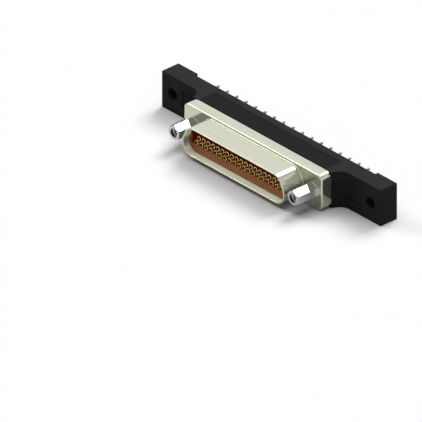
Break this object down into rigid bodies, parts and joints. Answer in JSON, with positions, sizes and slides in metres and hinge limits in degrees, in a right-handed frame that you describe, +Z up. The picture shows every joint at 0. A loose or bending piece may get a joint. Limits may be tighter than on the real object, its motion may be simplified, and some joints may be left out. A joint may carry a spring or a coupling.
{
  "type": "board-mount rectangular socket connector",
  "caption": "Straight board-mount micro rectangular socket connector with a black eared housing, D-shaped metal shell, staggered contact rows, hexagonal jackposts and wire tails.",
  "frame": {"origin": "midway between the two mounting holes, on the face of the end pads that sits on the board", "axes": "+X along the connector; +Y through the board, the way the tails leave; the mating side faces -Y; +Z up as the connector lies on its long narrow side, with the wide side of the D-shaped hood down"},
  "size_m": [0.059, 0.0162, 0.0074],
  "materials": {
    "housing_plastic": "black glass-filled moulding, matt",
    "potting_compound": "black cast epoxy, slightly darker than the housing",
    "shell_nickel": "warm pale nickel plate, satin, with very fine lines along the length",
    "insulator_plastic": "brown-orange moulding, satin",
    "socket_gold": "gold plate",
    "tail_tin": "bright tinned wire",
    "jackpost_steel": "polished stainless steel",
    "nut_steel": "plain stainless steel"
  },
  "bodies": {
    "root": {"board_housing": "housing_plastic", "wire_potting": "potting_compound", "front_shell": "shell_nickel", "contact_insulator": "insulator_plastic", "tails_short_row": "tail_tin", "tails_long_row": "tail_tin", "jackpost_left": "jackpost_steel", "jackpost_right": "jackpost_steel", "jackpost_nut_left": "nut_steel", "jackpost_nut_right": "nut_steel", "socket_01": "socket_gold", "socket_02": "socket_gold", "socket_03": "socket_gold", "socket_04": "socket_gold", "socket_05": "socket_gold", "socket_06": "socket_gold", "socket_07": "socket_gold", "socket_08": "socket_gold", "socket_09": "socket_gold", "socket_10": "socket_gold", "socket_11": "socket_gold", "socket_12": "socket_gold", "socket_13": "socket_gold", "socket_14": "socket_gold", "socket_15": "socket_gold", "socket_16": "socket_gold", "socket_17": "socket_gold", "socket_18": "socket_gold", "socket_19": "socket_gold", "socket_20": "socket_gold", "socket_21": "socket_gold", "socket_22": "socket_gold", "socket_23": "socket_gold", "socket_24": "socket_gold", "socket_25": "socket_gold", "socket_26": "socket_gold", "socket_27": "socket_gold", "socket_28": "socket_gold", "socket_29": "socket_gold", "socket_30": "socket_gold", "socket_31": "socket_gold", "socket_32": "socket_gold", "socket_33": "socket_gold", "socket_34": "socket_gold", "socket_35": "socket_gold", "socket_36": "socket_gold", "socket_37": "socket_gold"}
  },
  "joints": []
}
